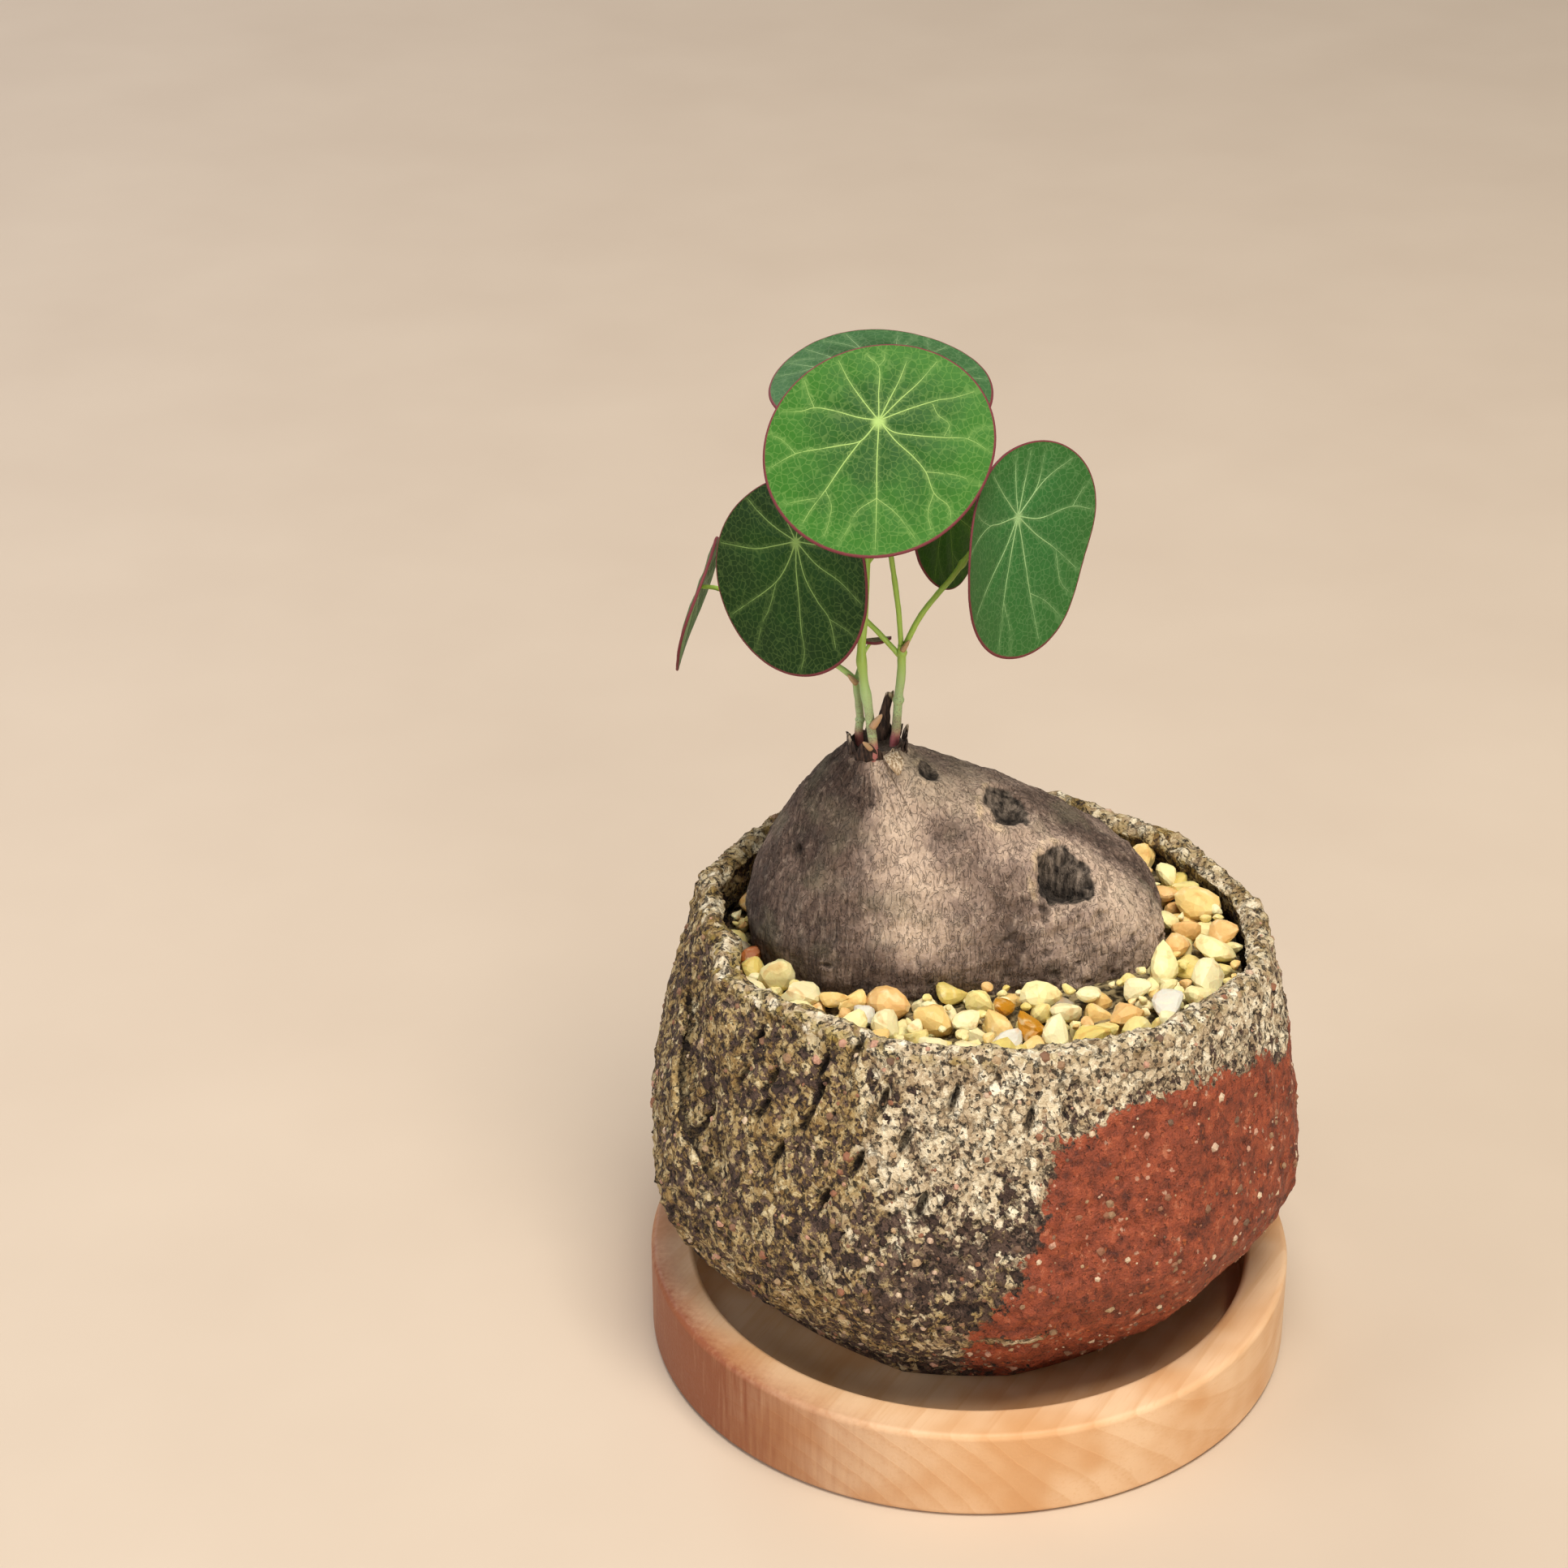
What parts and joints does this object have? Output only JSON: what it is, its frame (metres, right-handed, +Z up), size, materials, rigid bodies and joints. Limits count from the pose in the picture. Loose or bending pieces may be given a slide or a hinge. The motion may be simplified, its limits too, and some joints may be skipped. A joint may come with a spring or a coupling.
{
  "type": "potted stephania erecta",
  "caption": "Round-leaved caudex plant: woody swollen tuber with shoots and peltate leaves, set in gravel in a carved stoneware pot on a wooden saucer.",
  "frame": {"origin": "centre of the saucer's flat underside", "axes": "+Z up, -Y towards the front of the plant, +X to the right seen from the front"},
  "size_m": [0.1223, 0.1214, 0.1947],
  "materials": {
    "saucer_pine": "sanded bare pine, satin",
    "pot_stoneware": "rough groggy stoneware, ash-toned above, bare brick-red clay low on the right front",
    "soil": "dry dark potting mix",
    "gravel": "matt cream and yellow pebbles",
    "caudex_bark": "grey-brown fissured bark",
    "old_stem_bark": "dead dark bark, split",
    "stem_green": "smooth light green, pink at the base",
    "leaf_front_green": "satin leaf, pale veins, maroon margin",
    "leaf_pale_green": "satin grey-green leaf, pale veins, maroon margin",
    "leaf_dark_green": "satin dark leaf, pale veins, maroon margin",
    "leaf_young_olive": "soft unfolding leaf"
  },
  "bodies": {
    "root": {"saucer": "saucer_pine", "pot": "pot_stoneware", "soil": "soil", "gravel": "gravel", "caudex": "caudex_bark", "old_stem": "old_stem_bark", "stem_front": "stem_green", "stem_left": "stem_green", "stem_right": "stem_green", "leaf_front": "leaf_front_green", "leaf_back": "leaf_pale_green", "leaf_right": "leaf_pale_green", "leaf_left": "leaf_dark_green", "leaf_far_left": "leaf_pale_green", "leaf_inner": "leaf_dark_green", "leaf_young": "leaf_young_olive"}
  },
  "joints": []
}
